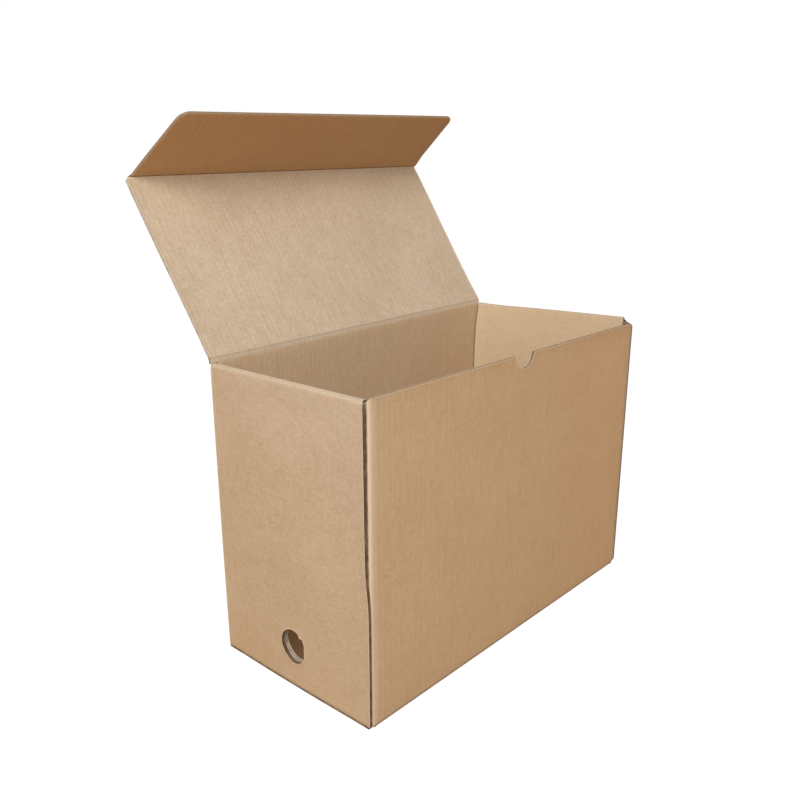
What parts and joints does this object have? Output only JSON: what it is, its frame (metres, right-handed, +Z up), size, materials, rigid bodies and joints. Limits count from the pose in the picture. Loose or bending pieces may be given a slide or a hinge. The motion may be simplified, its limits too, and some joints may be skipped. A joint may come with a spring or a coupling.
{
  "type": "archive box",
  "caption": "Tall corrugated archive box folded from one blank, with double-board ends, a thumb notch, a finger hole, and a hinged lid that has a tuck flap along its front.",
  "frame": {"origin": "centre of the box's underside", "axes": "+X along the front, towards the right end; +Y from the front to the back; +Z up"},
  "size_m": [0.388, 0.2928, 0.4813],
  "materials": {
    "kraft_board": "matt uncoated brown kraft, faintly mottled, with faint flute lines"
  },
  "bodies": {
    "carton": {"bottom_panel": "kraft_board", "front_panel": "kraft_board", "back_panel": "kraft_board", "left_end_outer": "kraft_board", "left_end_top": "kraft_board", "left_end_inner": "kraft_board", "right_end_outer": "kraft_board", "right_end_top": "kraft_board", "right_end_inner": "kraft_board", "front_left_side_flap": "kraft_board", "back_left_side_flap": "kraft_board", "front_right_side_flap": "kraft_board", "back_right_side_flap": "kraft_board", "lid_crease": "kraft_board"},
    "lid": {"lid_panel": "kraft_board", "tuck_crease": "kraft_board"},
    "tuck": {"tuck_flap": "kraft_board"}
  },
  "joints": [
    {"name": "lid_hinge", "type": "hinge", "parent": "carton", "child": "lid", "pos_m": [0, 0.0933, 0.2779], "axis": [1, 0, 0], "range_deg": [-138, 126], "deforming": ["lid_crease"]},
    {"name": "tuck_hinge", "type": "hinge", "parent": "lid", "child": "tuck", "pos_m": [0, 0.20092, 0.42603], "axis": [1, 0, 0], "range_deg": [-26.3, 24], "deforming": ["tuck_crease"]}
  ],
  "couplings": [
    {"joint": "tuck_hinge", "follows": "lid_hinge", "ratio": 0.19}
  ]
}
